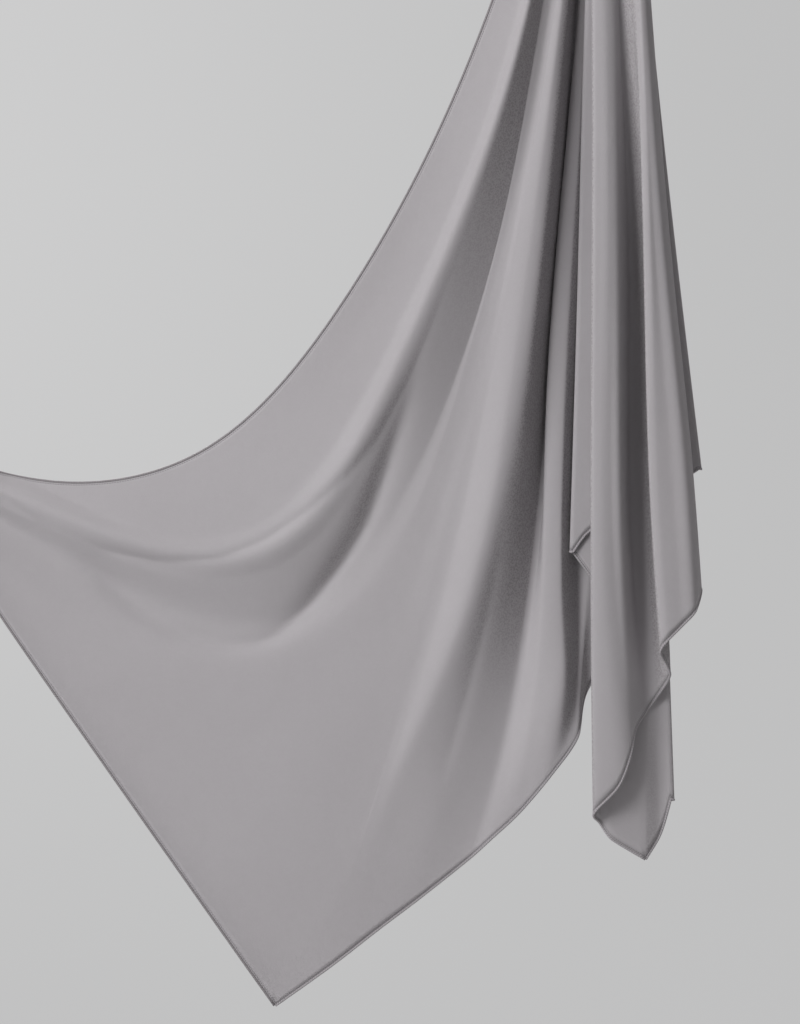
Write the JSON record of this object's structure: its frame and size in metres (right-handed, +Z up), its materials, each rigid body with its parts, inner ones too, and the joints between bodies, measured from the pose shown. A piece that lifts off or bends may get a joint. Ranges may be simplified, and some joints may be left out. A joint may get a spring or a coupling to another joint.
{
  "type": "evening stole",
  "caption": "Satin evening stole held at a pinch of its long edge, one corner drawn out in an open sweep and the rest hanging in a cascade of soft pleats.",
  "frame": {"origin": "the point where the upper long edge is gathered and held", "axes": "+Z up, +X to the right seen from the front, and the front of the cloth faces -Y"},
  "size_m": [0.8102, 0.1156, 1.2374],
  "materials": {
    "satin": "soft low sheen, mauve grey",
    "rolled_hem": "rolled and stitched edge, a little darker"
  },
  "bodies": {
    "root": {"cloth_panel": "satin", "hem_upper": "rolled_hem", "hem_lower": "rolled_hem", "hem_left_end": "rolled_hem", "hem_right_end": "rolled_hem"}
  },
  "joints": []
}
